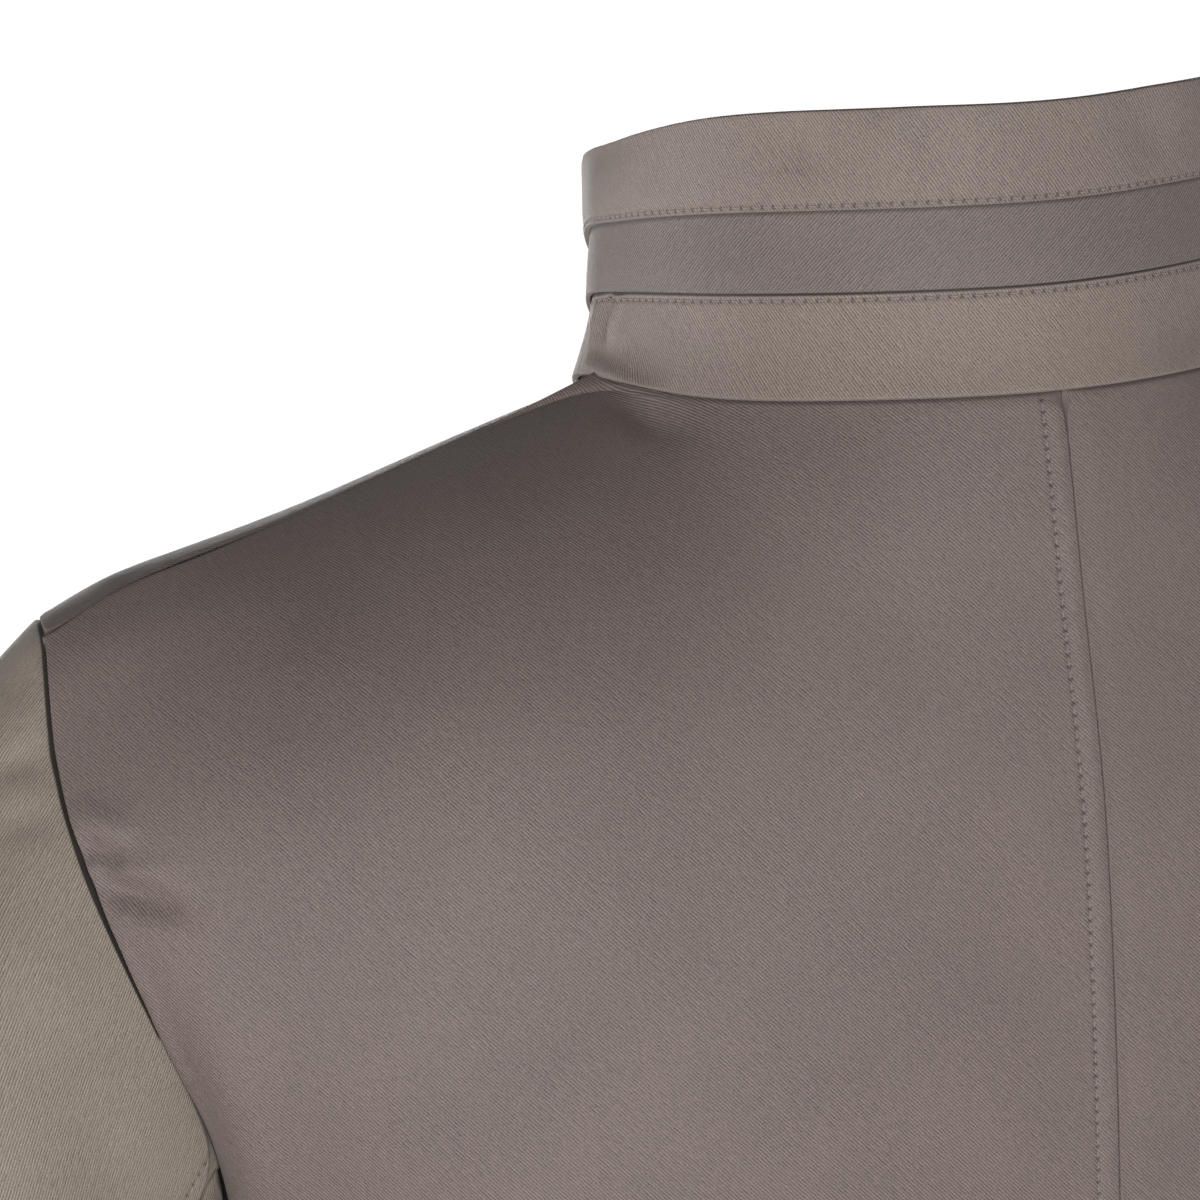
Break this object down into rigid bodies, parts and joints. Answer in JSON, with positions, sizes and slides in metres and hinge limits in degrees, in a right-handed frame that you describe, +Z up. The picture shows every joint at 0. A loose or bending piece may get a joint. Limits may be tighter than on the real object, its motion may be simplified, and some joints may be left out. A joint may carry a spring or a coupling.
{
  "type": "fencing jacket",
  "caption": "Fencing jacket in worn form, hollow and open at neck, hem and cuffs, with a banded standing collar, seamed sleeves, a centre back seam and a lapped front.",
  "frame": {"origin": "middle of the neck opening, level with the neck ends of the shoulder seams, where the wearer's neck holds the jacket", "axes": "+Z up, +X towards the wearer's left arm, +Y towards the wearer's back, so the front faces -Y"},
  "size_m": [0.7024, 0.2462, 0.6902],
  "materials": {
    "body_twill": "satin twill weave, taupe",
    "sleeve_twill": "satin twill weave, taupe, a shade lighter",
    "collar_twill": "satin twill weave, taupe, topstitched"
  },
  "bodies": {
    "root": {"back_left": "body_twill", "back_right": "body_twill", "front_left": "body_twill", "front_right": "body_twill", "sleeve_left_upper": "sleeve_twill", "sleeve_left_under": "sleeve_twill", "sleeve_right_upper": "sleeve_twill", "sleeve_right_under": "sleeve_twill", "collar_lower": "collar_twill", "collar_strap": "collar_twill", "collar_upper": "collar_twill"}
  },
  "joints": []
}
